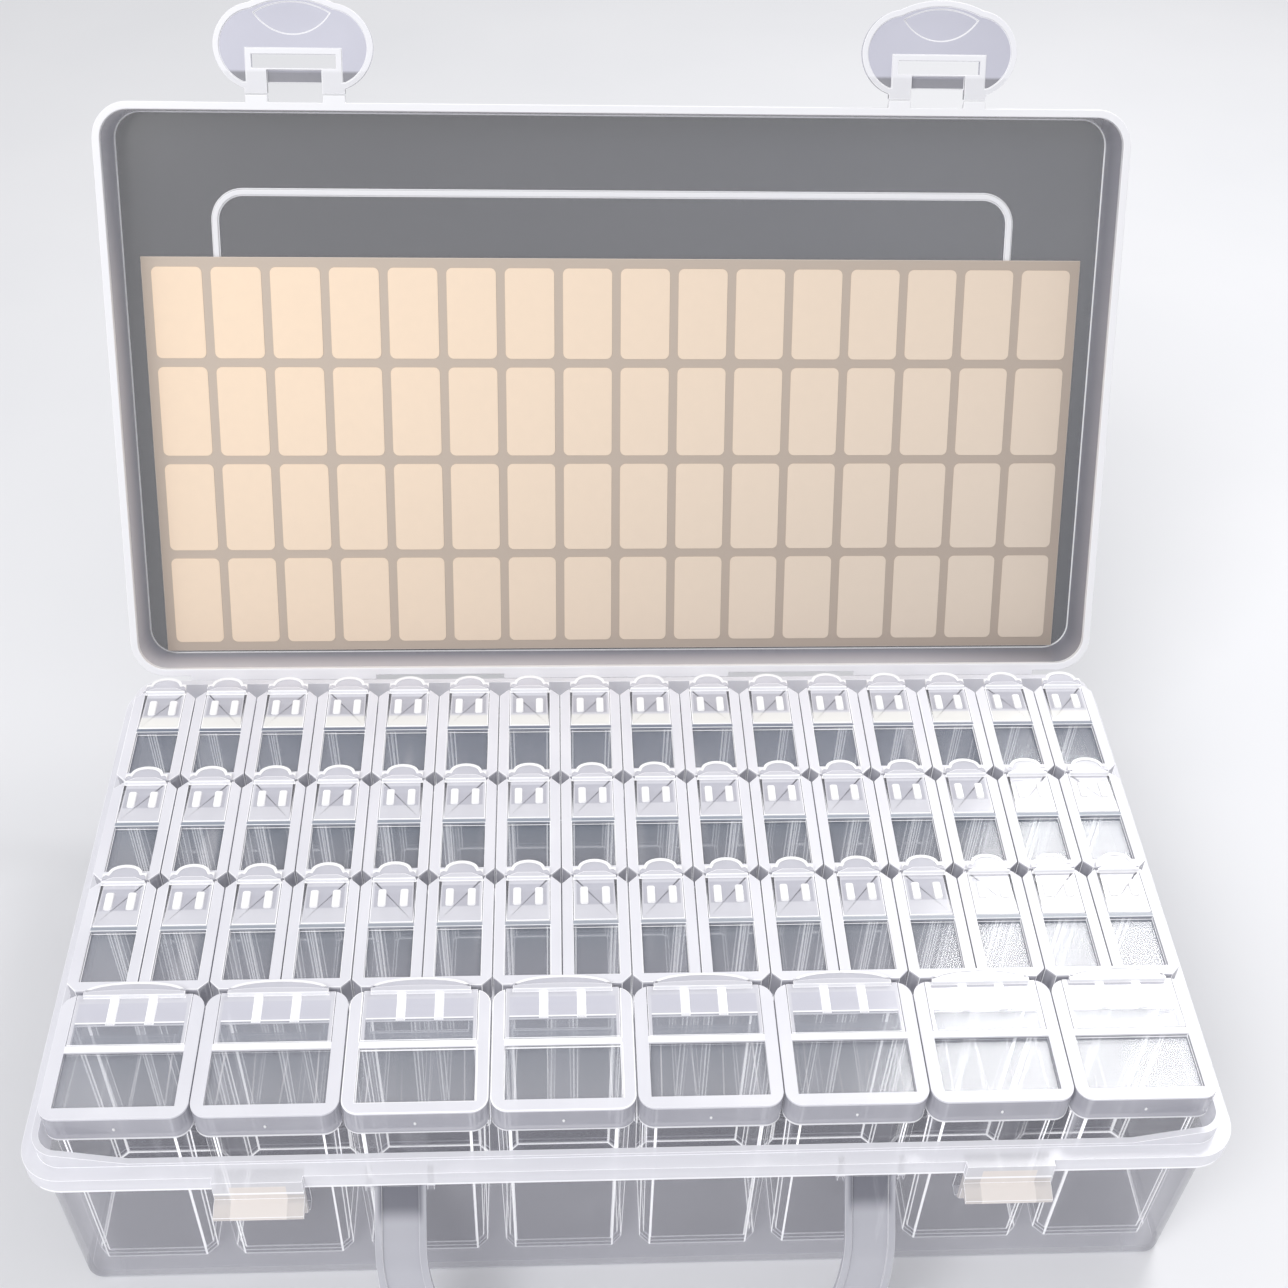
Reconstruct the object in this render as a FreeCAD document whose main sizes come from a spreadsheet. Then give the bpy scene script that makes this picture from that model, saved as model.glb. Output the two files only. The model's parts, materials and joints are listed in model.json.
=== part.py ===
import FreeCAD, Part
import math
import os
from types import SimpleNamespace

import Sketcher
from FreeCAD import Placement, Rotation, Vector

doc = FreeCAD.newDocument("bead_storage_box")
sheet = doc.addObject("Spreadsheet::Sheet", "sizes")

# Driving sizes in millimetres, angles in degrees and counts, by the piece that they belong to

SIZES = {
    # Tray, measured over the flange that runs round its top
    "box_width": 225.0,
    "box_depth": 127.0,
    "box_corner": 8.0,
    "flange_height": 44.5,
    "flange_reach": 2.6,
    "flange_plate": 1.2,
    "flange_drop": 4.0,
    "flange_lip": 1.1,
    "tray_wall": 1.2,
    "tray_floor": 1.4,
    "tray_draft": 1.65,
    "tray_edge_round": 1.6,
    "rim_rise": 4.0,
    "rim_front_rise": 0.8,
    "rim_shoulder": 8.0,
    "rim_slope": 12.0,
    # Lid
    "lid_overhang": 1.0,
    "lid_inside": 12.3,
    "lid_panel": 1.2,
    "lid_wall": 1.0,
    "lid_draft": 1.5,
    "lid_rim": 0.7,
    "lid_rim_plate": 1.2,
    "lid_edge_round": 1.2,
    "lid_seat_gap": 0.2,
    "ridge_side": 22.3,
    "ridge_end": 18.5,
    "ridge_width": 1.2,
    "ridge_height": 0.5,
    "ridge_corner": 7.0,
    # Film hinge at the back
    "hinge_reach": 1.2,
    "hinge_film": 0.5,
    "hinge_gap": 0.1,
    "hinge_side_span": 43.0,
    "hinge_mid_span": 53.0,
    "hinge_end_inset": 13.3,
    "open_angle": 116.7,
    # Latches on the lid's front edge
    "latch_place": 69.0,
    "latch_land": 1.6,
    "latch_leg": 4.8,
    "latch_window": 11.6,
    "latch_width": 33.6,
    "latch_length": 20.4,
    "latch_shoulder": 1.2,
    "latch_middle": 9.8,
    "latch_lobe": 9.1,
    "crown_width": 18.0,
    "crown_rise": 2.0,
    "latch_thick": 1.7,
    "latch_recess": 0.35,
    "latch_border": 1.2,
    "slot_width": 17.8,
    "slot_near": 5.3,
    "slot_far": 8.1,
    "web_near": 2.3,
    "web_thick": 0.5,
    "dish_width": 16.0,
    "dish_near": 12.1,
    "dish_ends": 16.4,
    "dish_far": 18.6,
    "dish_sink": 0.3,
    # Keepers on the tray's front
    "keeper_width": 16.4,
    "keeper_drop": 14.0,
    "keeper_face": 1.2,
    "keeper_toe": 3.0,
    "keeper_gap": 0.3,
    "hook_near": 5.7,
    "hook_far": 7.5,
    "hook_reach": 1.9,
    "hook_lead": 0.9,
    "rib_width": 1.6,
    "rib_place": 3.3,
    "rib_drop": 4.2,
    # Carrying handle
    "handle_span": 87.2,
    "handle_band": 9.4,
    "handle_drop": 50.0,
    "handle_bend": 38.0,
    "handle_thick": 1.5,
    "handle_bead": 0.5,
    "handle_bead_width": 1.3,
    "handle_root": 0.9,
    "pin_radius": 0.8,
    "pin_play": 0.06,
    "pivot_drop": 5.3,
    "pivot_back": 1.5,
    "ear_thick": 1.3,
    "ear_gap": 0.3,
    "ear_round": 1.5,
    # Bottles: both kinds share the height and the walls
    "side_gap": 0.7,
    "row_gap": 0.6,
    "front_gap": 2.45,
    "large_row_gap": 1.0,
    "back_gap": 8.75,
    "cap_gap": 0.3,
    "bottle_height": 53.1,
    "bottle_seat": 0.15,
    "cap_height": 6.8,
    "cap_wall": 0.8,
    "cap_plate": 0.7,
    "cap_recess": 1.0,
    "jar_wall": 0.8,
    "jar_floor": 1.3,
    "jar_fit": 0.1,
    "jar_draft": 0.85,
    "jar_head": 0.2,
    "spout_start": 3.0,
    "small_hinge_bar": 1.0,
    "large_hinge_bar": 1.4,
    "flap_play": 0.15,
    "tab_rise": 1.0,
    "tab_reach": 0.5,
    "tab_depth": 1.3,
    "nib_width": 1.6,
    "nib_length": 6.0,
    "nib_rise": 0.3,
    "large_depth": 26.8,
    "large_hinge_back": 2.05,
    "large_corner": 3.2,
    "large_clip": 1.8,
    "large_border": 2.4,
    "large_spout_side": 1.85,
    "large_spout_back": 3.6,
    "large_tab_side": 1.3,
    "small_hinge_back": 1.95,
    "small_corner": 1.8,
    "small_clip": 1.0,
    "small_border": 2.1,
    "small_spout_side": 1.4,
    "small_spout_back": 1.9,
    "small_tab_side": 0.05,
    # Label sheet that stands in the lid
    "sheet_side": 6.0,
    "sheet_height": 92.0,
    "sheet_thick": 0.3,
    "sheet_gap": 0.15,
    "sheet_back_gap": 0.8,
    "label_thick": 0.12,
    "label_gap": 2.0,
    "label_margin": 2.2,
    # Every cut runs past the surface by this much
    "overrun": 1.0,
}

COLUMNS = 16
LARGE_COUNT = 8
SMALL_ROWS = 3
LABEL_ROWS = 4

# A face counts as upright while its normal rises by less than this share
UPRIGHT = 1e-6

# Small bottles that lift and open one by one, as row and column; the rest of a row moves together
SINGLE_BOTTLES = [(1, 12), (1, 13), (1, 14), (2, 11), (2, 12)]

for line, (name, number) in enumerate(SIZES.items(), start=1):
    sheet.set(f"A{line}", name)
    sheet.set(f"B{line}", str(number))
    sheet.setAlias(f"B{line}", name)
doc.recompute()


class Size:
    """A number from the sheet, or worked out from it, with the formula that says how."""

    def __init__(self, value, text):
        self.value = value
        self.text = text

    def __add__(self, other):
        other = as_size(other)
        return Size(self.value + other.value, f"({self.text} + {other.text})")

    def __sub__(self, other):
        other = as_size(other)
        return Size(self.value - other.value, f"({self.text} - {other.text})")

    def __mul__(self, other):
        other = as_size(other)
        return Size(self.value * other.value, f"({self.text} * {other.text})")

    def __truediv__(self, other):
        other = as_size(other)
        return Size(self.value / other.value, f"({self.text} / {other.text})")

    def __neg__(self):
        return Size(-self.value, f"(-1 * {self.text})")


def as_size(number):
    """Gives a plain count or share the same form as a size."""
    return number if isinstance(number, Size) else Size(float(number), repr(float(number)))


def slope(angle):
    """The tangent of an angle in degrees."""
    return Size(math.tan(math.radians(angle.value)), f"tan({angle.text})")


S = SimpleNamespace(**{name: Size(float(sheet.get(name)), f"sizes.{name}") for name in SIZES})
ZERO = Size(0.0, "0")

# Sizes that several pieces share

rim_width = S.box_width - S.flange_reach * 2
rim_depth = S.box_depth - S.flange_reach * 2
rim_corner = S.box_corner - S.flange_reach
rim_top = S.flange_height + S.rim_rise
flange_under = S.flange_height - S.flange_drop
front_edge = S.box_depth / -2
back_edge = S.box_depth / 2
hinge_line_y = back_edge + S.hinge_reach
hinge_line_z = S.flange_height + S.lid_seat_gap / 2
lid_bottom = S.lid_seat_gap / 2
lid_ceiling = lid_bottom + S.lid_inside
lid_depth = S.box_depth + S.lid_overhang
lid_front = ZERO - S.hinge_reach - lid_depth
latch_line_y = lid_front - S.latch_land
pivot_y = front_edge + S.pivot_back
pivot_z = S.flange_height - S.pivot_drop
bottle_foot = S.tray_floor + S.bottle_seat
hollow_width = rim_width - S.tray_wall * 2
hollow_depth = rim_depth - S.tray_wall * 2
column_pitch = (hollow_width - S.side_gap * 2) / COLUMNS
row_space = hollow_depth - S.back_gap - S.front_gap - S.large_row_gap - S.large_depth
row_pitch = (row_space + S.row_gap) / SMALL_ROWS
small_depth = row_pitch - S.row_gap
sheet_width = S.box_width - S.sheet_side * 2


# Sketches: every point of an outline is tied to the sheet

def new_sketch(body, name, plane="XY_Plane", offset=(ZERO, ZERO, ZERO)):
    """Puts a sketch on one of the body's origin planes, moved by an offset from the sheet."""
    sketch = body.newObject("Sketcher::SketchObject", name)
    support = [item for item in body.Origin.OriginFeatures if item.Role == plane][0]
    sketch.AttachmentSupport = [(support, "")]
    sketch.MapMode = "FlatFace"
    for axis, length in zip("xyz", offset):
        sketch.setExpression(f"AttachmentOffset.Base.{axis}", length.text)
    return sketch


def bow_point(start, end, radius, bulge):
    """The middle of an arc; bulge is 1 where a loop drawn anticlockwise bows outwards."""
    chord = end - start
    sink = math.sqrt(max(radius * radius - chord.Length * chord.Length / 4, 0.0))
    outward = Vector(chord.y, -chord.x, 0).normalize()
    return (start + end) / 2 + outward * (radius - sink) * bulge


def tie(sketch, kind, place, length):
    """Adds one dimension and binds it to its formula."""
    index = sketch.addConstraint(Sketcher.Constraint(kind, *place, length.value))
    sketch.renameConstraint(index, f"tied{index}")
    sketch.setExpression(f"Constraints.tied{index}", length.text)


def draw_loop(sketch, path):
    """Draws a closed loop anticlockwise. A point is x and y, then the radius of the arc that
    leaves it, if one does, then -1 if that arc bows inwards."""
    corners = [Vector(as_size(point[0]).value, as_size(point[1]).value, 0) for point in path]
    ends = []
    for index, point in enumerate(path):
        start = corners[index]
        end = corners[(index + 1) % len(path)]
        if len(point) == 2:
            edge = sketch.addGeometry(Part.LineSegment(start, end))
            ends.append((edge, 1, 2))
            continue
        bulge = point[3] if len(point) == 4 else 1
        middle = bow_point(start, end, point[2].value, bulge)
        edge = sketch.addGeometry(Part.Arc(start, middle, end))
        ends.append((edge, 1, 2) if bulge == 1 else (edge, 2, 1))
        tie(sketch, "Radius", (edge,), point[2])
    for index, point in enumerate(path):
        edge, first, last = ends[index]
        following, following_first, _ = ends[(index + 1) % len(path)]
        sketch.addConstraint(Sketcher.Constraint("Coincident", edge, last, following, following_first))
        for kind, length in (("DistanceX", point[0]), ("DistanceY", point[1])):
            tie(sketch, kind, (-1, 1, edge, first), as_size(length))


def rounded(width, depth, corner):
    """A rectangle about the origin with round corners."""
    x, y = width / 2, depth / 2
    a, b = x - corner, y - corner
    return [(-a, -y), (a, -y, corner), (x, -b), (x, b, corner),
            (a, y), (-a, y, corner), (-x, b), (-x, -b, corner)]


def clipped(width, depth, corner):
    """A rectangle about the origin with its corners cut straight."""
    return [point[:2] for point in rounded(width, depth, corner)]


def rectangle(left, right, low, high):
    return [(left, low), (right, low), (right, high), (left, high)]


def circle(sketch, x, y, radius):
    """Draws a circle whose centre and radius follow the sheet."""
    edge = sketch.addGeometry(Part.Circle(Vector(x.value, y.value, 0), Vector(0, 0, 1), radius.value))
    tie(sketch, "Radius", (edge,), radius)
    tie(sketch, "DistanceX", (-1, 1, edge, 3), x)
    tie(sketch, "DistanceY", (-1, 1, edge, 3), y)


# Features: each is recomputed at once, and a cut that removes nothing stops the build

def add_sketch(body, name, path, z=ZERO, plane="XY_Plane", offset=None):
    sketch = new_sketch(body, name, plane, offset or (ZERO, ZERO, z))
    draw_loop(sketch, path)
    return sketch


def extrude(body, sketch, kind, length, reverse, both, draft):
    """A pad or a pocket; a draft angle narrows it along its length, as a mould does."""
    feature = body.newObject(f"PartDesign::{kind}", f"{sketch.Name}_{kind.lower()}")
    feature.Profile = sketch
    feature.setExpression("Length", length.text)
    feature.Reversed = reverse
    if both:
        feature.SideType = "Symmetric"
    if draft:
        feature.setExpression("TaperAngle", (-draft).text)
    return settle(body, feature, 1 if kind == "Pad" else -1)


def pad(body, sketch, length, down=False, both=False, draft=None):
    return extrude(body, sketch, "Pad", length, down, both, draft)


def pocket(body, sketch, length, up=False, both=False, draft=None):
    return extrude(body, sketch, "Pocket", length, up, both, draft)


def settle(body, feature, sign):
    """Recomputes, and checks that the feature added or removed material."""
    before = body.Shape.Volume if body.Shape and not body.Shape.isNull() else 0.0
    body.Tip = feature
    doc.recompute()
    change = (body.Shape.Volume - before) * sign
    if change <= 0:
        raise ValueError(f"{body.Label}: {feature.Name} changed nothing: {feature.getStatusString()}")
    return feature


def round_edges(body, name, radius, keep):
    """Fillets the edges of the body whose middle passes the test."""
    edges = [f"Edge{number}" for number, edge in enumerate(body.Shape.Edges, start=1)
             if keep(edge.BoundBox.Center)]
    base = body.Tip
    feature = body.newObject("PartDesign::Fillet", name)
    feature.Base = (base, edges)
    feature.setExpression("Radius", radius.text)
    return settle(body, feature, -1)


def new_body(label):
    body = doc.addObject("PartDesign::Body", label)
    body.Label = label
    return body


# Tray: drafted walls, a flange with a turned-down lip, keepers and handle ears

def make_tray():
    body = new_body("base")
    shell = add_sketch(body, "tray_shell", rounded(rim_width, rim_depth, rim_corner), rim_top)
    pad(body, shell, rim_top, down=True, draft=S.tray_draft)
    round_edges(body, "tray_edge", S.tray_edge_round, lambda middle: middle.z < S.tray_edge_round.value / 2)

    flange = add_sketch(body, "flange", rounded(S.box_width, S.box_depth, S.box_corner), flange_under)
    pad(body, flange, S.flange_drop)
    hollow_flange(body)
    add_keepers(body)
    add_ears(body)
    hollow_tray(body)
    lower_front_rim(body)
    return body


def hollow_tray(body):
    """The drafted hollow that the bottles stand in."""
    hollow = add_sketch(body, "tray_hollow",
                        rounded(hollow_width, hollow_depth, rim_corner - S.tray_wall),
                        rim_top)
    pocket(body, hollow, rim_top - S.tray_floor, draft=S.tray_draft)


def hollow_flange(body):
    """The groove under the flange, between its lip and the wall."""
    lip_width = S.box_width - S.flange_lip * 2
    lip_depth = S.box_depth - S.flange_lip * 2
    groove = new_sketch(body, "flange_groove", "XY_Plane", (ZERO, ZERO, flange_under))
    draw_loop(groove, rounded(lip_width, lip_depth, S.box_corner - S.flange_lip))
    draw_loop(groove, rounded(rim_width, rim_depth, rim_corner))
    pocket(body, groove, S.flange_drop - S.flange_plate, up=True)


def lower_front_rim(body):
    """Cuts the raised rim down along the front, with a slope near each corner."""
    outer = S.box_width / 2 - S.rim_shoulder
    inner = outer - S.rim_slope
    low = S.flange_height + S.rim_front_rise
    high = rim_top + S.overrun
    steep = S.rim_slope * (S.rim_rise - S.rim_front_rise + S.overrun) / (S.rim_rise - S.rim_front_rise)
    path = [(-inner, low), (inner, low), (inner + steep, high), (-(inner + steep), high)]
    notch = add_sketch(body, "front_notch", path, plane="XZ_Plane", offset=(ZERO, ZERO, -front_edge))
    pocket(body, notch, S.box_corner + S.flange_reach)


def mirror_last(body, name, features):
    """Repeats features on the other side of the middle plane."""
    mirror = body.newObject("PartDesign::Mirrored", name)
    mirror.Originals = features
    plane = [item for item in body.Origin.OriginFeatures if item.Role == "YZ_Plane"][0]
    mirror.MirrorPlane = (plane, [""])
    return settle(body, mirror, 1)


def add_keepers(body):
    """The catch plates that the latches hook over, one each side of the handle."""
    hook_level = S.flange_height + S.lid_seat_gap
    plane_y = front_edge - S.lid_overhang - S.latch_land + S.keeper_gap
    wall_y = -(rim_depth / 2 - S.overrun)
    low = S.flange_height - S.keeper_drop
    face_y = front_edge - S.keeper_face
    face = [(wall_y, S.flange_height), (face_y, S.flange_height), (face_y, low + S.keeper_toe),
            (front_edge + S.keeper_face, low), (wall_y, low)]
    hook_top = hook_level - S.hook_near
    hook_low = hook_level - S.hook_far
    tip = plane_y - S.keeper_gap - S.hook_reach
    hook = [(front_edge, hook_top), (plane_y, hook_top), (tip, hook_top - S.hook_lead),
            (tip, hook_low), (front_edge, hook_low)]
    rib = [(front_edge, hook_low), (plane_y, hook_low), (face_y, hook_low - S.rib_drop),
           (front_edge, hook_low - S.rib_drop)]
    features = []
    features.append(side_pad(body, "keeper_plate", turned(face), S.latch_place, S.keeper_width))
    features.append(side_pad(body, "keeper_hook", turned(hook), S.latch_place, S.keeper_width))
    for name, place in (("inner", -S.rib_place), ("outer", S.rib_place)):
        features.append(side_pad(body, f"keeper_rib_{name}", turned(rib), S.latch_place + place, S.rib_width))
    mirror_last(body, "keeper_pair", features)


def turned(path):
    """Turns a loop's direction round, where its points were listed clockwise."""
    return path[::-1]


def side_pad(body, name, path, place, width):
    """Pads a side profile, drawn as depth and height, across its width about a place along X."""
    sketch = add_sketch(body, name, path, plane="YZ_Plane", offset=(ZERO, ZERO, place))
    return pad(body, sketch, width, both=True)


def add_ears(body):
    """Two pairs of ears in the flange's groove, bored for the handle's pins."""
    wall_y = -(rim_depth / 2 - S.overrun)
    beside = S.handle_band / 2 + S.ear_gap + S.ear_thick / 2
    low = pivot_z - S.ear_round
    front = pivot_y - S.ear_round
    top = S.flange_height - S.flange_plate / 2
    path = [(front, top), (front, pivot_z, S.ear_round), (pivot_y, low), (wall_y, low), (wall_y, top)]
    features = []
    for name, place in (("inner", S.handle_span / 2 - beside), ("outer", S.handle_span / 2 + beside)):
        features.append(side_pad(body, f"ear_{name}", path, place, S.ear_thick))
    mirror_last(body, "ear_pair", features)
    bore = new_sketch(body, "ear_bore", "YZ_Plane")
    circle(bore, pivot_y, pivot_z, S.pin_radius + S.pin_play)
    pocket(body, bore, S.handle_span + S.handle_band * 2, both=True)


# Lid, drawn closed with the hinge line at its origin, then swung open

def make_lid():
    body = new_body("lid")
    middle_y = ZERO - S.hinge_reach - lid_depth / 2
    wall_width = S.box_width - S.lid_rim * 2
    wall_depth = lid_depth - S.lid_rim * 2
    wall_corner = S.box_corner - S.lid_rim
    top = lid_ceiling + S.lid_panel
    shell = add_sketch(body, "lid_shell", rounded(wall_width, wall_depth, wall_corner),
                       offset=(ZERO, middle_y, lid_bottom))
    pad(body, shell, top - lid_bottom, draft=S.lid_draft)
    round_edges(body, "lid_edge", S.lid_edge_round,
                lambda middle: middle.z > top.value - S.lid_panel.value / 2)
    rim = add_sketch(body, "lid_rim", rounded(S.box_width, lid_depth, S.box_corner),
                     offset=(ZERO, middle_y, lid_bottom))
    pad(body, rim, S.lid_rim_plate)
    add_lands(body)

    hollow = add_sketch(body, "lid_hollow",
                        rounded(wall_width - S.lid_wall * 2, wall_depth - S.lid_wall * 2,
                                wall_corner - S.lid_wall),
                        offset=(ZERO, middle_y, lid_bottom))
    pocket(body, hollow, S.lid_inside, up=True, draft=S.lid_draft)
    add_ridge(body, "ridge_inside", middle_y, lid_ceiling, down=True)
    add_ridge(body, "ridge_outside", middle_y, top, down=False)
    return body


def add_lands(body):
    """The lands that the hinge films and the latches hang on."""
    back = ZERO - S.hinge_gap
    for name, place, span in hinge_spans():
        land = add_sketch(body, f"hinge_land_{name}",
                          rectangle(-(span / 2), span / 2, ZERO - S.hinge_reach - S.overrun, back),
                          offset=(place, ZERO, lid_bottom))
        pad(body, land, S.hinge_film)
    inner = S.latch_window / 2
    outer = inner + S.latch_leg
    edge = latch_line_y + S.hinge_gap
    chamfer = S.latch_thick / 2
    profile = [(lid_front + S.lid_rim, lid_bottom), (edge, lid_bottom),
               (edge, lid_bottom + S.latch_thick - chamfer), (edge + chamfer, lid_bottom + S.latch_thick),
               (lid_front + S.lid_rim, lid_bottom + S.latch_thick)]
    features = []
    for name, place in (("inner", S.latch_place - (inner + outer) / 2), ("outer", S.latch_place + (inner + outer) / 2)):
        features.append(side_pad(body, f"latch_land_{name}", turned(profile), place, S.latch_leg))
    mirror_last(body, "latch_land_pair", features)


def add_ridge(body, name, middle_y, level, down):
    """A narrow raised rectangle on the panel."""
    width = S.box_width - S.ridge_side * 2
    depth = lid_depth - S.ridge_end * 2
    ring = new_sketch(body, name, "XY_Plane", (ZERO, middle_y, level))
    draw_loop(ring, rounded(width, depth, S.ridge_corner))
    draw_loop(ring, rounded(width - S.ridge_width * 2, depth - S.ridge_width * 2, S.ridge_corner - S.ridge_width))
    pad(body, ring, S.ridge_height, down=down)


def hinge_spans():
    """Name, place along X and length of each of the three hinge films."""
    place = S.box_width / 2 - S.hinge_end_inset - S.hinge_side_span / 2
    return [("left", -place, S.hinge_side_span),
            ("centre", ZERO, S.hinge_mid_span),
            ("right", place, S.hinge_side_span)]


def make_hinge_films():
    """Three thin strips between the flange's back edge and the hinge line."""
    films = []
    for name, place, span in hinge_spans():
        film = doc.addObject("Part::Box", f"hinge_film_{name}")
        film.setExpression("Length", span.text)
        film.setExpression("Width", (S.hinge_reach - S.hinge_gap).text)
        film.setExpression("Height", S.hinge_film.text)
        film.setExpression("Placement.Base.x", (place - span / 2).text)
        film.setExpression("Placement.Base.y", back_edge.text)
        film.setExpression("Placement.Base.z", (S.flange_height - S.hinge_film).text)
        film.Label = f"hinge_film_{name}"
        films.append(film)
    return films


# Latch: a mushroom plate on two legs, drawn in the lid's plane with its crease at the origin

def latch_outline():
    leg_out = S.latch_window / 2 + S.latch_leg
    leg_in = S.latch_window / 2
    wide = S.latch_width / 2
    crown = S.crown_width / 2
    root = ZERO - S.hinge_gap
    shoulder = ZERO - S.latch_shoulder
    middle = ZERO - S.latch_middle
    crown_foot = S.crown_rise - S.latch_length
    bar = ZERO - (S.slot_near - S.latch_recess)
    crown_radius = (crown * crown + S.crown_rise * S.crown_rise) / (S.crown_rise * 2)
    return [(-leg_out, root), (-leg_out, shoulder, S.latch_lobe), (-wide, middle, S.latch_lobe),
            (-crown, crown_foot, crown_radius), (crown, crown_foot, S.latch_lobe),
            (wide, middle, S.latch_lobe), (leg_out, shoulder), (leg_out, root),
            (leg_in, root), (leg_in, bar), (-leg_in, bar), (-leg_in, root)]


def latch_field():
    """The sunk field inside the latch's border, which passes round the slot."""
    frame = S.slot_width / 2 + S.latch_border
    field_top = ZERO - (S.latch_shoulder + S.latch_border)
    wide = S.latch_width / 2 - S.latch_border
    crown = S.crown_width / 2 - S.latch_border / 3
    middle = ZERO - S.latch_middle
    foot = S.crown_rise - S.latch_length + S.latch_border
    lobe = S.latch_lobe - S.latch_border
    below = ZERO - (S.slot_far + S.latch_border)
    rise = S.crown_rise
    crown_radius = (crown * crown + rise * rise) / (rise * 2)
    start = frame + S.latch_border / 2
    return [(-start, field_top, lobe), (-wide, middle, lobe), (-crown, foot, crown_radius),
            (crown, foot, lobe), (wide, middle, lobe), (start, field_top), (frame, field_top),
            (frame, below), (-frame, below), (-frame, field_top)]


def latch_dish():
    """The thumb dish near the tip, between two arcs."""
    half = S.dish_width / 2
    ends = ZERO - S.dish_ends
    far = S.dish_far - S.dish_ends
    near = S.dish_ends - S.dish_near
    return [(-half, ends, (half * half + far * far) / (far * 2)),
            (half, ends, (half * half + near * near) / (near * 2))]


def make_latch(label):
    body = new_body(label)
    plate = add_sketch(body, label + "_plate", latch_outline())
    pad(body, plate, S.latch_thick)
    web = add_sketch(body, label + "_web",
                     rectangle(-(S.latch_window / 2 + S.latch_recess), S.latch_window / 2 + S.latch_recess,
                               -S.slot_near, -S.web_near),
                     S.latch_thick / 2)
    pad(body, web, S.web_thick)
    slot = add_sketch(body, label + "_slot",
                      rectangle(-(S.slot_width / 2), S.slot_width / 2, -S.slot_far, -S.slot_near))
    pocket(body, slot, S.latch_thick, up=True)
    pocket(body, add_sketch(body, label + "_field", latch_field()), S.latch_recess, up=True)
    pocket(body, add_sketch(body, label + "_dish", latch_dish(), S.latch_recess), S.dish_sink, up=True)
    return body


# Handle: a flat looped band on two pins, drawn hanging from its pin line at the origin

def band_loop(inset):
    """The band's outline, inset from both of its edges."""
    wide = (S.handle_span + S.handle_band) / 2 - inset
    bend = S.handle_bend - inset
    low = inset - S.handle_drop
    flat = wide - bend
    turn = low + bend
    band = S.handle_band - inset * 2
    inner = wide - band
    inner_bend = bend - band
    root = S.handle_root - inset
    return [(-wide, root), (-wide, turn, bend), (-flat, low), (flat, low, bend), (wide, turn), (wide, root),
            (inner, root), (inner, turn, inner_bend, -1), (flat, low + band), (-flat, low + band, inner_bend, -1),
            (-inner, turn), (-inner, root)]


def make_handle():
    body = new_body("handle")
    band = add_sketch(body, "handle_band", band_loop(ZERO), plane="XZ_Plane")
    pad(body, band, S.handle_thick, both=True)
    field = add_sketch(body, "handle_field", band_loop(S.handle_bead_width), plane="XZ_Plane",
                       offset=(ZERO, ZERO, S.handle_thick / 2))
    pocket(body, field, S.handle_bead)
    pins = []
    length = S.handle_band + (S.ear_gap + S.ear_thick) * 2
    sketch = new_sketch(body, "handle_pin", "YZ_Plane", (ZERO, ZERO, S.handle_span / 2))
    circle(sketch, ZERO, ZERO, S.pin_radius)
    pins.append(pad(body, sketch, length, both=True))
    mirror_last(body, "handle_pins", pins)
    return body


# Bottles: a drafted jar, a pressed-on collar with a fixed window, and a hinged flap

def bottle_sizes(kind):
    """Sizes that differ between the small bottles and the large ones."""
    if kind == "small":
        return SimpleNamespace(width=column_pitch - S.cap_gap, depth=small_depth, corner=S.small_corner,
                               clip=S.small_clip, border=S.small_border, spout_side=S.small_spout_side,
                               spout_back=S.small_spout_back, tab_side=S.small_tab_side, hinge=S.small_hinge_back,
                               bar=S.small_hinge_bar, shape=clipped)
    return SimpleNamespace(width=column_pitch * 2 - S.cap_gap, depth=S.large_depth, corner=S.large_corner,
                           clip=S.large_clip, border=S.large_border, spout_side=S.large_spout_side,
                           spout_back=S.large_spout_back, tab_side=S.large_tab_side, hinge=S.large_hinge_back,
                           bar=S.large_hinge_bar, shape=rounded)


def make_jar(kind):
    bottle = bottle_sizes(kind)
    body = new_body(f"{kind}_jar_pattern")
    under_cap = (S.cap_wall + S.jar_fit) * 2
    width = bottle.width - under_cap
    depth = bottle.depth - under_cap
    height = S.bottle_height - S.cap_recess - S.cap_plate - S.jar_head
    shell = add_sketch(body, f"{kind}_jar_shell", clipped(width, depth, bottle.corner - S.cap_wall), height)
    pad(body, shell, height, down=True)
    hollow = add_sketch(body, f"{kind}_jar_hollow",
                        clipped(width - S.jar_wall * 2, depth - S.jar_wall * 2, bottle.clip), height)
    pocket(body, hollow, height - S.jar_floor)
    draft_sides(body, f"{kind}_jar_hollow_draft", S.jar_draft, inwards=True)
    draft_sides(body, f"{kind}_jar_shell_draft", S.jar_draft, inwards=False)
    return body


def draft_sides(body, name, angle, inwards):
    """Leans the upright faces that look away from the middle, or towards it, about the top face."""
    faces = []
    for number, face in enumerate(body.Shape.Faces, start=1):
        normal, centre = face.normalAt(0, 0), face.CenterOfMass
        if normal.z > 1 / 2 and centre.z > body.Shape.BoundBox.Center.z:
            top = f"Face{number}"
        towards = normal.x * centre.x + normal.y * centre.y < 0
        if abs(normal.z) < UPRIGHT and towards == inwards:
            faces.append(f"Face{number}")
    base = body.Tip
    feature = body.newObject("PartDesign::Draft", name)
    feature.Base = (base, faces)
    feature.NeutralPlane = (base, [top])
    feature.setExpression("Angle", angle.text)
    feature.Reversed = not inwards
    return settle(body, feature, 1 if inwards else -1)


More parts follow.
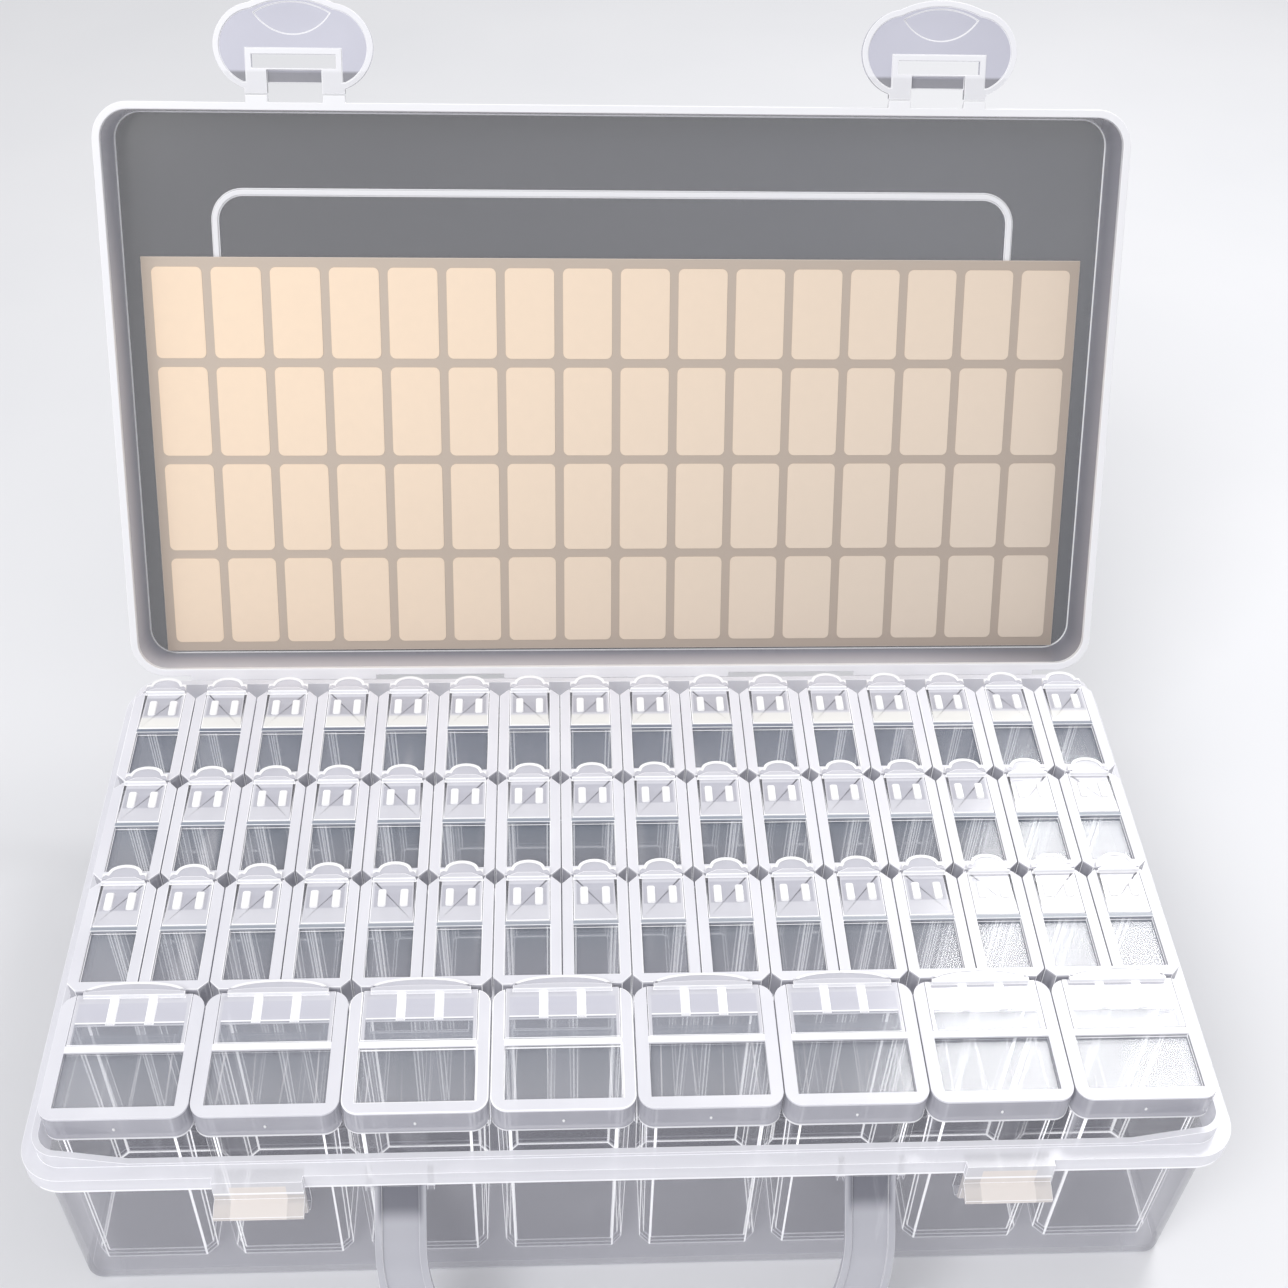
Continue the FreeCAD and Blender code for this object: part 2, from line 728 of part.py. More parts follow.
def make_collar(kind):
    bottle = bottle_sizes(kind)
    body = new_body(f"{kind}_collar_pattern")
    base = S.bottle_height - S.cap_height
    block = add_sketch(body, f"{kind}_collar_block", bottle.shape(bottle.width, bottle.depth, bottle.corner), base)
    pad(body, block, S.cap_height)

    inner_width = bottle.width - S.cap_wall * 2
    inner_depth = bottle.depth - S.cap_wall * 2
    under = add_sketch(body, f"{kind}_collar_under",
                       clipped(inner_width, inner_depth, bottle.clip), base)
    pocket(body, under, S.cap_height - S.cap_recess - S.cap_plate, up=True)

    edge_x = bottle.width / 2 - bottle.border
    front_y = bottle.border - bottle.depth / 2
    back_y = bottle.depth / 2 - S.cap_wall
    tab_x = flap_half_width(bottle) + S.flap_play
    floor_z = S.bottle_height - S.cap_recess
    sunk = add_sketch(body, f"{kind}_collar_sunk", rectangle(-edge_x, edge_x, front_y, back_y), S.bottle_height)
    pocket(body, sunk, S.cap_recess)
    gate = add_sketch(body, f"{kind}_collar_gate",
                      rectangle(-tab_x, tab_x, back_y - S.cap_wall, bottle.depth / 2 + S.overrun), S.bottle_height)
    pocket(body, gate, S.cap_recess)
    bar = add_sketch(body, f"{kind}_collar_bar", rectangle(-edge_x, edge_x, bottle.hinge - bottle.bar, bottle.hinge), floor_z)
    pad(body, bar, S.cap_recess)
    spout_x = edge_x - bottle.spout_side
    spout_y = bottle.depth / 2 - bottle.spout_back
    spout = add_sketch(body, f"{kind}_collar_spout",
                       rectangle(-spout_x, spout_x, bottle.hinge + S.spout_start, spout_y), floor_z)
    pocket(body, spout, S.cap_plate)
    return body


def flap_half_width(bottle):
    return bottle.width / 2 - bottle.border - S.flap_play


def make_flap(kind):
    """The flap, with its thumb tab over the cap's back edge; the large one carries two nibs."""
    bottle = bottle_sizes(kind)
    body = new_body(f"{kind}_flap_pattern")
    half = flap_half_width(bottle)
    tab = half - bottle.tab_side
    back = bottle.depth / 2
    base = S.bottle_height - S.cap_recess + S.flap_play
    start = bottle.hinge + S.flap_play
    plate = [(-half, start), (half, start), (half, back), (-half, back)]
    pad(body, add_sketch(body, f"{kind}_flap_plate", plate, base), S.cap_recess - S.flap_play)
    tip = back + S.tab_reach
    foot = tip - S.tab_depth
    if kind == "small":
        crown = [(-tab, foot), (tab, foot), (tab, back - S.tab_reach), (tab / 2, tip), (-(tab / 2), tip),
                 (-tab, back - S.tab_reach)]
    else:
        bow = (tab * tab + S.tab_reach * S.tab_reach) / (S.tab_reach * 2)
        crown = [(-tab, foot), (tab, foot), (tab, back, bow), (-tab, back)]
    pad(body, add_sketch(body, f"{kind}_flap_tab", crown, S.bottle_height), S.tab_rise)
    if kind == "large":
        add_nibs(body, half, foot)
    return body


def add_nibs(body, half, foot):
    """Two short ribs at the thirds of a large flap."""
    place = half / 3
    for name, x in (("left", -place), ("right", place)):
        nib = add_sketch(body, f"nib_{name}",
                         rectangle(x - S.nib_width / 2, x + S.nib_width / 2, foot - S.nib_length, foot),
                         S.bottle_height)
        pad(body, nib, S.nib_rise)


# Placing: the tray holds three rows of small bottles and one of large ones

def row_place(row):
    """Depth of the middle of a row of small bottles; row 1 stands at the back."""
    return hollow_depth / 2 - S.back_gap - small_depth / 2 - row_pitch * (row - 1)


def large_place():
    """Depth of the middle of the large bottles, in front of the last small row."""
    return row_place(SMALL_ROWS) - (small_depth + S.large_depth) / 2 - S.large_row_gap


def column_place(column, columns):
    pitch = column_pitch * (COLUMNS / columns)
    return pitch * (column - (columns + 1) / 2)


def place_copies(label, pattern, spots):
    """One node that stands at its first spot, with a separate solid of the pattern at each."""
    first_x, first_y = spots[0]
    solids = []
    for x, y in spots:
        solid = pattern.Shape.copy()
        solid.translate(Vector((x - first_x).value, (y - first_y).value, 0))
        solids.append(solid)
    piece = doc.addObject("Part::Feature", label)
    piece.Label = label
    piece.Shape = solids[0] if len(solids) == 1 else Part.makeCompound(solids)
    piece.Placement = Placement(Vector(first_x.value, first_y.value, bottle_foot.value), Rotation())
    return piece


def make_bottles():
    pieces = []
    for kind in ("small", "large"):
        patterns = {"jar": make_jar(kind), "collar": make_collar(kind), "flap": make_flap(kind)}
        groups = small_groups() if kind == "small" else large_groups()
        for name, spots in groups:
            for part_name, pattern in patterns.items():
                pieces.append(place_copies(f"{kind}_{part_name}{name}", pattern, spots))
    return pieces


def small_groups():
    """The rows without their single bottles, then each single bottle."""
    groups = []
    for row in range(1, SMALL_ROWS + 1):
        spots = [(column_place(column, COLUMNS), row_place(row)) for column in range(1, COLUMNS + 1)
                 if (row, column) not in SINGLE_BOTTLES]
        groups.append((f"s_row_{row}", spots))
    for row, column in SINGLE_BOTTLES:
        groups.append((f"_{row}_{column}", [(column_place(column, COLUMNS), row_place(row))]))
    return groups


def large_groups():
    return [(f"_{column}", [(column_place(column, LARGE_COUNT), large_place())])
            for column in range(1, LARGE_COUNT + 1)]


# Label sheet: drawn in the lid's frame, against the ridge inside its panel

def make_label_sheet():
    level = lid_ceiling - S.ridge_height - S.sheet_gap - S.sheet_thick
    inner_back = ZERO - S.hinge_reach - S.lid_rim - S.lid_wall - S.lid_inside * slope(S.lid_draft)
    back = inner_back - S.sheet_back_gap
    front = back - S.sheet_height
    backing = doc.addObject("Part::Box", "label_backing")
    backing.Label = "label_backing"
    backing.setExpression("Length", sheet_width.text)
    backing.setExpression("Width", S.sheet_height.text)
    backing.setExpression("Height", S.sheet_thick.text)

    label_width = (sheet_width - S.label_margin * 2 + S.label_gap) / COLUMNS - S.label_gap
    label_height = (S.sheet_height - S.label_margin * 2 + S.label_gap) / LABEL_ROWS - S.label_gap
    solids = []
    for row in range(LABEL_ROWS):
        for column in range(COLUMNS):
            x = sheet_width / -2 + S.label_margin + (label_width + S.label_gap) * column
            y = front + S.label_margin + (label_height + S.label_gap) * row
            corner = Vector(x.value, y.value, (level - S.label_thick).value)
            solids.append(Part.makeBox(label_width.value, label_height.value, S.label_thick.value, corner))
    labels = doc.addObject("Part::Feature", "labels")
    labels.Label = "labels"
    labels.Shape = Part.makeCompound(solids)
    return backing, labels, (sheet_width / -2, front, level)


def lid_pose():
    """The lid's frame: its origin on the hinge line, swung back by the open angle."""
    return Placement(Vector(0, hinge_line_y.value, hinge_line_z.value),
                     Rotation(Vector(1, 0, 0), -S.open_angle.value))


def handle_lean():
    """How far the hanging handle swings out before its grip meets the ground."""
    reach = math.hypot(S.handle_drop.value, S.handle_thick.value / 2)
    tilt = math.atan2(S.handle_thick.value / 2, S.handle_drop.value)
    return math.degrees(math.acos(pivot_z.value / reach) + tilt)


tray = make_tray()
lid = make_lid()
films = make_hinge_films()
latches = [make_latch("latch_left"), make_latch("latch_right")]
handle = make_handle()
bottles = make_bottles()
label_backing, labels, sheet_corner = make_label_sheet()
doc.recompute()

lid.Placement = lid_pose()
for latch, side in zip(latches, (-1, 1)):
    root = Vector((S.latch_place * side).value, latch_line_y.value, lid_bottom.value)
    latch.Placement = lid_pose().multiply(Placement(root, Rotation()))
handle.Placement = Placement(Vector(0, pivot_y.value, pivot_z.value), Rotation(Vector(1, 0, 0), -handle_lean()))
label_backing.Placement = lid_pose().multiply(Placement(Vector(*(size.value for size in sheet_corner)), Rotation()))
labels.Placement = lid_pose()
doc.recompute()

# Checks, then one STEP file for each piece

nodes = [tray, lid, *films, *latches, handle, *bottles, label_backing, labels]
for item in doc.Objects:
    if {"Invalid", "Error"} & set(item.State):
        raise ValueError(f"{item.Label} failed: {item.State}")
for node in nodes:
    if node.Shape.isNull() or not node.Shape.isValid():
        raise ValueError(f"{node.Label} has no valid shape")

os.makedirs("parts", exist_ok=True)
for node in nodes:
    node.Shape.exportStep(os.path.join("parts", f"{node.Label}.step"))
print(f"{len(nodes)} pieces, {sum(len(node.Shape.Solids) for node in nodes)} solids")
print(f"hinge line y {hinge_line_y.value:.3f} z {hinge_line_z.value:.3f}")
print(f"handle pins y {pivot_y.value:.3f} z {pivot_z.value:.3f}, lean {handle_lean():.3f} degrees")
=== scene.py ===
# %% [markdown]
# A bead storage box stands open: a clear, slightly milky tray with a hinged lid, two latches and a handle,
# 56 small flip-top bottles and a sheet of blank labels. Its moving pieces come from the CAD model, which is
# loaded first and stays as it is. This lesson gives every piece its plastic or paper, and adds the small
# trim that the CAD leaves out.

# %% load the CAD model
import json
import math

import bmesh
import bpy
from mathutils import Matrix, Vector


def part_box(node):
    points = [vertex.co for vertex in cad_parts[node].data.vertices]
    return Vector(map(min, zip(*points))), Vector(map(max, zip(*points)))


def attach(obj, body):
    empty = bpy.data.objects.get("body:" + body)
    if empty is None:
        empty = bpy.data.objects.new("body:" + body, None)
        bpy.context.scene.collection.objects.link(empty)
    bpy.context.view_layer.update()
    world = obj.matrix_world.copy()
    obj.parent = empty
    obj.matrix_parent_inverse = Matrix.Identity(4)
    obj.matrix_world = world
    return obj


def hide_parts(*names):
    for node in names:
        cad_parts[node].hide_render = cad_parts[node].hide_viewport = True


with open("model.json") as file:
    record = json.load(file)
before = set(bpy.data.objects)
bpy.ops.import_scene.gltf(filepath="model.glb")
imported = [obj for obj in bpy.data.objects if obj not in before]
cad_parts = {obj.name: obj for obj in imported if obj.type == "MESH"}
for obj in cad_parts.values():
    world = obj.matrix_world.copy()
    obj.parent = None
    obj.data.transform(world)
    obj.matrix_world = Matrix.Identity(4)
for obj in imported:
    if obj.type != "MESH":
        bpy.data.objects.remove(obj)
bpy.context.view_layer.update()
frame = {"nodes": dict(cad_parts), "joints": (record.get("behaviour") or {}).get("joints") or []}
nodes = frame["nodes"]
MM = 0.001
print("pieces from the CAD model:", len(nodes))

# %% [markdown]
# The lid is stored open, so its own directions lean. The lid's joint in the packed record gives the hinge
# line and how far the lid is open. From these come two directions: `ALONG` runs up the lid from the hinge,
# and `DEEP` runs from the lid's rim into its hollow, at right angles to the panel. Masks on the lid, its
# latches and the labels use them.


# %% the lid's own directions
def joint_called(name):
    return next(joint for joint in frame["joints"] if joint["name"] == name)


lid_joint = joint_called("lid_hinge")
HINGE = Vector(lid_joint["pos_m"])
OPEN = math.radians(-lid_joint["range_deg"][0])
ALONG = Vector((0, -math.cos(OPEN), math.sin(OPEN)))
DEEP = Vector((0, math.sin(OPEN), math.cos(OPEN)))
print("lid open by", round(math.degrees(OPEN), 1), "degrees, hinge line at", [round(v, 4) for v in HINGE])

# %% [markdown]
# Materials are node trees. Long chains of nodes are hard to read, so shader sums are written as Python: a
# `Wire` holds one output socket, and an operator on it adds the Math node. A `Look` is one material with
# its own small toolbox. Most finishes are a few masks laid over each other. A mask is 1 where its colour
# shows and 0 elsewhere, and it is made from a distance with `over`, `under` or `near`.


# %% sums on sockets
class Wire:
    """One output of a material's nodes. An operator on it adds a Math node."""

    def __init__(self, look, socket):
        self.look = look
        self.socket = socket

    def math(self, operation, first, second=0.0):
        return self.look.node("ShaderNodeMath", {"operation": operation}, {0: first, 1: second})

    def __add__(self, other):
        return self.math("ADD", self, other)

    def __sub__(self, other):
        return self.math("SUBTRACT", self, other)

    def __rsub__(self, other):
        return self.math("SUBTRACT", other, self)

    def __mul__(self, other):
        return self.math("MULTIPLY", self, other)

    def __truediv__(self, other):
        return self.math("DIVIDE", self, other)

    def __rtruediv__(self, other):
        return self.math("DIVIDE", other, self)

    def __abs__(self):
        return self.math("ABSOLUTE", self)

    __radd__ = __add__
    __rmul__ = __mul__

    def larger(self, other):
        return self.math("MAXIMUM", self, other)

    def smaller(self, other):
        return self.math("MINIMUM", self, other)

    def repeat(self, pitch):
        """The place inside a row of equal cells, measured from the middle of each cell."""
        return self.math("FRACT", self / pitch) * pitch - pitch / 2

    def rise(self, low, high):
        """0 below low, 1 above high, smooth between them."""
        settings = {"interpolation_type": "SMOOTHSTEP", "clamp": True}
        values = {"Value": self, "From Min": low, "From Max": high, "To Min": 0.0, "To Max": 1.0}
        return self.look.node("ShaderNodeMapRange", settings, values)

    def fall(self, low, high):
        return 1 - self.rise(low, high)

    def over(self, edge, soft):
        """1 past the edge, 0 before it, with a soft stretch on both sides of it."""
        return self.rise(edge - soft, edge + soft)

    def under(self, edge, soft):
        return self.fall(edge - soft, edge + soft)

    def near(self, middle, reach, soft=0.15):
        """1 within reach of middle, 0 beyond it."""
        return abs(self - middle).under(reach, soft)


print("a wire's own steps:", [name for name in vars(Wire) if not name.startswith("_")])

# %% colours as they are seen
BRIGHTEST = 255


def seen(red, green, blue):
    """A colour as a screen shows it, 0 to 255, turned into the light that a shader works with."""
    def light(value):
        value = value / BRIGHTEST
        return value / 12.92 if value <= 0.04045 else ((value + 0.055) / 1.055) ** 2.4
    return light(red), light(green), light(blue), 1.0


print("mid grey as light:", round(seen(128, 128, 128)[0], 3))


# %% one material and its tools
PLASTIC_IOR = 1.5


class Look:
    """One material, with short calls for the nodes that its recipe needs."""

    def __init__(self, name):
        self.material = bpy.data.materials.new(name)
        self.material.use_nodes = True
        self.tree = self.material.node_tree
        self.tree.nodes.clear()
        coordinates = self.tree.nodes.new("ShaderNodeTexCoord")
        self.place = Wire(self, coordinates.outputs["Object"])
        self.facing = Wire(self, coordinates.outputs["Normal"])

    def node(self, kind, settings, values, out=0):
        node = self.tree.nodes.new(kind)
        for key, value in settings.items():
            setattr(node, key, value)
        for key, value in values.items():
            if isinstance(value, Wire):
                self.tree.links.new(value.socket, node.inputs[key])
            else:
                node.inputs[key].default_value = value
        return Wire(self, node.outputs[out]) if node.outputs else None

    def axis(self, vector, direction):
        """How far a vector reaches along a direction."""
        settings = {"operation": "DOT_PRODUCT"}
        return self.node("ShaderNodeVectorMath", settings, {0: vector, 1: direction}, "Value")

    def across(self, direction, start=(0, 0, 0)):
        """The distance in millimetres from start, along a direction."""
        shift = Vector(direction).dot(Vector(start)) / MM
        return self.axis(self.place, tuple(direction)) * (1 / MM) - shift

    def mix(self, mask, under, over):
        """The colour under, with the colour over laid on it where the mask is 1."""
        return self.node("ShaderNodeMix", {"data_type": "RGBA"}, {0: mask, 6: under, 7: over}, 2)

    def grain(self, scale, detail=2.0, stretch=(1, 1, 1), seed=0.0):
        """Soft noise, 0 to 1, over the piece."""
        shift = {"Vector": self.place, "Scale": stretch, "Location": (seed, seed, 0)}
        moved = self.node("ShaderNodeMapping", {}, shift)
        return self.node("ShaderNodeTexNoise", {}, {"Vector": moved, "Scale": scale, "Detail": detail})

    def bump(self, height, strength, depth):
        return self.node("ShaderNodeBump", {}, {"Height": height, "Strength": strength, "Distance": depth})

    def finish(self, colour, roughness, alpha=1.0, normal=None, glow=0.0, gloss=0.5):
        """The shader. glow is painted light, a faint glow in the plastic's own colour; gloss is how strong
        its shine is.
        """
        values = {"Base Color": colour, "Roughness": roughness, "Alpha": alpha, "IOR": PLASTIC_IOR,
                  "Specular IOR Level": gloss}
        if normal is not None:
            values["Normal"] = normal
        if glow:
            values["Emission Color"] = colour
            values["Emission Strength"] = glow
        shader = self.node("ShaderNodeBsdfPrincipled", {}, values)
        self.node("ShaderNodeOutputMaterial", {}, {"Surface": shader})
        return self.material


print("a look's tools:", [name for name in vars(Look) if not name.startswith("_")])

# %% [markdown]
# The floor is one pale sheet, far larger than the box, with a very soft mottling so that it isn't one dead
# colour. It lies a hair below the box's underside, so that the two never share a plane. A wide, even sky
# gives most of the light, as a photographer's tent does. A soft panel in front, at the upper left, shapes
# the forms a little. Another stands behind the box on the right: it is low enough to mirror in the flat
# caps at the right, which gives the white sheen of the photograph. A panorama picture could light the
# scene as well, but then the scene would need that file beside it.

# %% floor
FLOOR_REACH = 6.0
FLOOR_DROP = 0.05 * MM
scene = bpy.context.scene
floor_mesh = bpy.data.meshes.new("floor")
corners = [(x * FLOOR_REACH, y * FLOOR_REACH, -FLOOR_DROP) for x, y in ((-1, -1), (1, -1), (1, 1), (-1, 1))]
floor_mesh.from_pydata(corners, [], [(0, 1, 2, 3)])
floor = bpy.data.objects.new("floor", floor_mesh)
scene.collection.objects.link(floor)
floor_look = Look("floor_paper")
floor_tone = floor_look.mix(floor_look.grain(9.0, 3.0), seen(222, 223, 227), seen(232, 232, 235))
floor_mesh.materials.append(floor_look.finish(floor_tone, 0.7))
print("floor reaches", FLOOR_REACH, "m")


# %% lights
SKY_STRENGTH = 0.62
KEY_WATTS, SHEEN_WATTS = 9.0, 2.1


def light_panel(name, spot, target, width, height, power):
    lamp = bpy.data.lights.new(name, "AREA")
    lamp.shape = "RECTANGLE"
    lamp.size, lamp.size_y = width, height
    lamp.energy = power
    panel = bpy.data.objects.new(name, lamp)
    panel.location = spot
    panel.rotation_euler = (Vector(target) - Vector(spot)).to_track_quat("-Z", "Y").to_euler()
    scene.collection.objects.link(panel)


sky = bpy.data.worlds.new("studio")
sky.use_nodes = True
sky.node_tree.nodes["Background"].inputs["Color"].default_value = (1, 1, 1, 1)
sky.node_tree.nodes["Background"].inputs["Strength"].default_value = SKY_STRENGTH
scene.world = sky
light_panel("key_panel", (-0.55, -0.75, 1.05), (0, 0, 0.05), 0.7, 0.7, KEY_WATTS)
light_panel("sheen_panel", (0.31, 0.36, 0.62), (0.08, -0.03, 0.05), 0.2, 0.24, SHEEN_WATTS)
scene.view_settings.view_transform = "Standard"
print("lights:", [item.name for item in bpy.data.lights])

# %% [markdown]
# The photograph was taken from in front and above, about 43 degrees down, a little left of the middle and
# rolled by two degrees. The camera's place and turn come from matching the box's straight edges, so they
# are plain numbers.

# %% camera
eye = Vector((-14.715, -232.245, 335.1)) * MM
right = Vector((0.99868, -0.04146, 0.03032))
down = Vector((-0.006327, -0.685108, -0.728414))
ahead = Vector((0.050972, 0.727261, -0.684466))
PHOTO_SIDE = 1288
FOCAL_PIXELS = 1763.0
lens = bpy.data.cameras.new("camera")
lens.sensor_width = 36.0
lens.lens = FOCAL_PIXELS / PHOTO_SIDE * lens.sensor_width
lens.clip_start = 0.01
camera = bpy.data.objects.new("camera", lens)
turn = Matrix((right, -down, -ahead)).transposed().to_4x4()
camera.matrix_world = Matrix.Translation(eye) @ turn
scene.collection.objects.link(camera)
scene.camera = camera
print("lens", round(lens.lens, 2), "mm")

# %% [markdown]
# A thin plastic edge gathers light: in the photograph each rim, side and corner is a bright white line, and
# the flat faces between are dim and clear. Modifiers give that without touching the CAD mesh. Weld joins the
# faces, Decimate clears the lines inside flat faces, a small node group keeps curved walls smooth, and Bevel
# cuts a narrow strip along each edge. The strip takes the second material slot, which is whiter and less
# clear than the first: its white is a painted highlight. The normals stored with the CAD mesh don't know of
# the strips, so they go.

# %% smooth walls between sharp edges
SHARP = math.radians(28)


def smoothing_group():
    group = bpy.data.node_groups.new("smooth_walls", "GeometryNodeTree")
    group.interface.new_socket("Geometry", in_out="INPUT", socket_type="NodeSocketGeometry")
    group.interface.new_socket("Geometry", in_out="OUTPUT", socket_type="NodeSocketGeometry")
    entry, leave = group.nodes.new("NodeGroupInput"), group.nodes.new("NodeGroupOutput")
    faces, edges = (group.nodes.new("GeometryNodeSetShadeSmooth") for _ in range(2))
    edges.domain = "EDGE"
    edges.inputs["Shade Smooth"].default_value = False
    angle = group.nodes.new("GeometryNodeInputMeshEdgeAngle")
    over = group.nodes.new("ShaderNodeMath")
    over.operation = "GREATER_THAN"
    over.inputs[1].default_value = SHARP
    group.links.new(entry.outputs[0], faces.inputs["Geometry"])
    group.links.new(faces.outputs[0], edges.inputs["Geometry"])
    group.links.new(angle.outputs["Unsigned Angle"], over.inputs[0])
    group.links.new(over.outputs[0], edges.inputs["Selection"])
    group.links.new(edges.outputs[0], leave.inputs[0])
    return group


SMOOTH = smoothing_group()
print("nodes in the smoothing group:", len(SMOOTH.nodes))

# %% dress a piece in its plastic
JOIN = 0.002 * MM
FLAT = math.radians(0.6)


def dress(piece, look, edge_look, width):
    """Gives a piece its plastic, and a strip of edge plastic of this width in millimetres."""
    mesh = piece.data
    if "custom_normal" in mesh.attributes:
        mesh.attributes.remove(mesh.attributes["custom_normal"])
    mesh.materials.clear()
    mesh.materials.append(look)
    mesh.materials.append(edge_look)
    piece.modifiers.new("join", "WELD").merge_threshold = JOIN
    flat = piece.modifiers.new("flat_faces", "DECIMATE")
    flat.decimate_type = "DISSOLVE"
    flat.angle_limit = FLAT
    piece.modifiers.new("smooth", "NODES").node_group = SMOOTH
    strip = piece.modifiers.new("edge_strip", "BEVEL")
    strip.width = width * MM
    strip.segments = 2
    strip.limit_method = "ANGLE"
    strip.angle_limit = SHARP
    strip.material = 1
    strip.harden_normals = True


print("edges over", round(math.degrees(SHARP)), "degrees get a strip")

# %% [markdown]
# Edge plastic comes in a few strengths. On the edges its white is painted highlight, and its glow is painted
# light. The tray and lid have thick white rims, the caps have milky ones, and the jars have thin ones that
# glow most. A little noise keeps each from looking painted.


# %% edge plastics
EDGE_LIFT = 8


def edge_plastic(name, tone, alpha, glow=0.0):
    look = Look(name)
    cloud = look.grain(140.0)
    lighter = [min(BRIGHTEST, value + EDGE_LIFT) for value in tone]
    colour = look.mix(cloud, seen(*tone), seen(*lighter))
    return look.finish(colour, 0.22, alpha - cloud * 0.08, glow=glow)


# The white of these edge strips is painted highlight, and their glow is painted light.
RIM_EDGE = edge_plastic("rim_edge_highlight", (244, 244, 248), 0.97)
CAP_EDGE = edge_plastic("cap_edge_highlight", (246, 246, 250), 0.95, 0.2)
JAR_EDGE = edge_plastic("jar_edge_highlight", (246, 246, 250), 0.92, 0.75)
TRAY_EDGE = edge_plastic("tray_edge_highlight", (243, 243, 248), 0.95, 0.25)
print("edge plastics:", RIM_EDGE.name, CAP_EDGE.name, JAR_EDGE.name, TRAY_EDGE.name)

# %% [markdown]
# The tray is one moulding in clear plastic. Its flange and lip are thick and look whitish. Its walls and
# floor are thin, so they look grey and let the jars behind them through. The corners gather light as the
# edges do, and that light is painted on them, on the foot and on the hem as white highlights. A faint glow,
# painted light, brightens the whole moulding, and the side walls are painted darker grey. The two catch
# plates at the front are warmer than the rest. It could be split into several materials by face, but it is
# one moulding, so it is one material with masks: by height above the surface that the box stands on, and by
# the distance from the box's middle, both in millimetres.

# %% tray plastic
UP = Vector((0, 0, 1))
SIDE = Vector((1, 0, 0))
BACK = Vector((0, 1, 0))
FLOOR_TOP, FLANGE_FOOT, HEM_HEIGHT = 1.6, 40.2, 40.8
HEM_SIDE, HEM_END = 111.4, 62.4
CORNER_SIDE, CORNER_END, SIDE_WALL = 102.0, 53.0, 104.5
KEEPER_FACE, KEEPER_PLACE, KEEPER_HALF, KEEPER_FOOT = -63.4, 69.0, 8.4, 30.2
PAD_FACE, PAD_HALF, PAD_MIDDLE, PAD_REACH = -64.45, 5.1, 39.6, 3.5
TRAY_STRIP = 0.42
RIPPLE = 0.4 * MM


def tray_plastic():
    look = Look("tray_plastic")
    height, depth = look.across(UP), look.across(BACK)
    x, y = abs(look.across(SIDE)), abs(depth)
    flange = height.over(FLANGE_FOOT, 0.4)
    floor_part = height.under(FLOOR_TOP, 0.4)
    corner = x.over(CORNER_SIDE, 5.0) * y.over(CORNER_END, 5.0) * height.under(FLANGE_FOOT - 1.2, 1.0)
    sides = x.over(SIDE_WALL, 2.5) * (1 - flange) * 0.7
    hem = height.near(HEM_HEIGHT, 0.3, 0.06) * (x.over(HEM_SIDE, 0.1) + y.over(HEM_END, 0.1)).smaller(1.0)
    foot_line = height.under(FLOOR_TOP / 2, 0.3) * abs(look.axis(look.facing, UP)).under(0.8, 0.1)
    keeper = x.near(KEEPER_PLACE, KEEPER_HALF, 0.1) * depth.under(KEEPER_FACE, 0.2)
    keeper = keeper * height.over(KEEPER_FOOT, 0.2)
    pad = x.near(KEEPER_PLACE, PAD_HALF, 0.12) * depth.under(PAD_FACE, 0.15)
    pad = pad * height.near(PAD_MIDDLE, PAD_REACH, 0.2)
    cloud = look.grain(22.0, 3.0)
    wall = look.mix(cloud, seen(176, 176, 185), seen(198, 198, 205))
    whitish = look.mix(cloud, seen(214, 214, 221), seen(228, 228, 233))
    plate = look.mix(height.over(37.5, 2.5), seen(204, 198, 196), seen(214, 209, 207))
    # painted highlights whiten the corners and the foot line; the side walls are painted darker grey
    colour = look.mix((corner * 0.4 + foot_line * 0.8).smaller(1.0), wall, seen(222, 222, 228))
    colour = look.mix(sides, colour, seen(136, 136, 144))
    colour = look.mix(flange, colour, whitish)
    colour = look.mix(keeper * (1 - flange), colour, plate)
    colour = look.mix(pad, colour, seen(218, 212, 209))
    # painted highlight: the white hem line
    colour = look.mix(hem, colour, seen(246, 246, 250))
    alpha = 0.26 + corner * 0.14 + floor_part * 0.12 + flange * 0.5 + foot_line * 0.4 - cloud * 0.06
    alpha = (alpha + sides * 0.2 + hem * 0.2).larger(keeper * 0.72 + pad * 0.22)
    ripples = look.grain(60.0, 1.0, (1, 1, 0.3), 4.0)
    # glow is painted light that brightens the dim inside of the box
    return look.finish(colour, 0.16 + flange * 0.06, alpha, look.bump(ripples, 0.12, RIPPLE), glow=0.18)


dress(nodes["base"], tray_plastic(), TRAY_EDGE, TRAY_STRIP)

# %% [markdown]
# The lid's panel is clear, and painted dark grey: painted shade for the darkness seen through it, lighter
# towards the right. Its four walls have a lilac cast, and painted shade darkens them deeper into the hollow
# and towards the right, so they lighten towards the rim; the rim itself is a white band. A raised line, the
# ridge, runs round the middle of the panel and catches the light as one crisp white line, a painted
# highlight. Real clear plastic is only as dark as what stands behind it. Here a pale floor does, so the
# panel is tinted to look as it does in the photograph. The masks use the lid's own directions, so they stay
# right when the lid is closed.


# %% lid plastic
LID_HALF = 110.0
RIM_DEEP, PANEL_DEEP, RIDGE_DEEP = 1.3, 12.3, 11.95
RIDGE_SIDE, RIDGE_MIDDLE, RIDGE_REACH = 98.5, 64.0, 54.0
LID_STRIP, FILM_STRIP = 0.3, 0.12


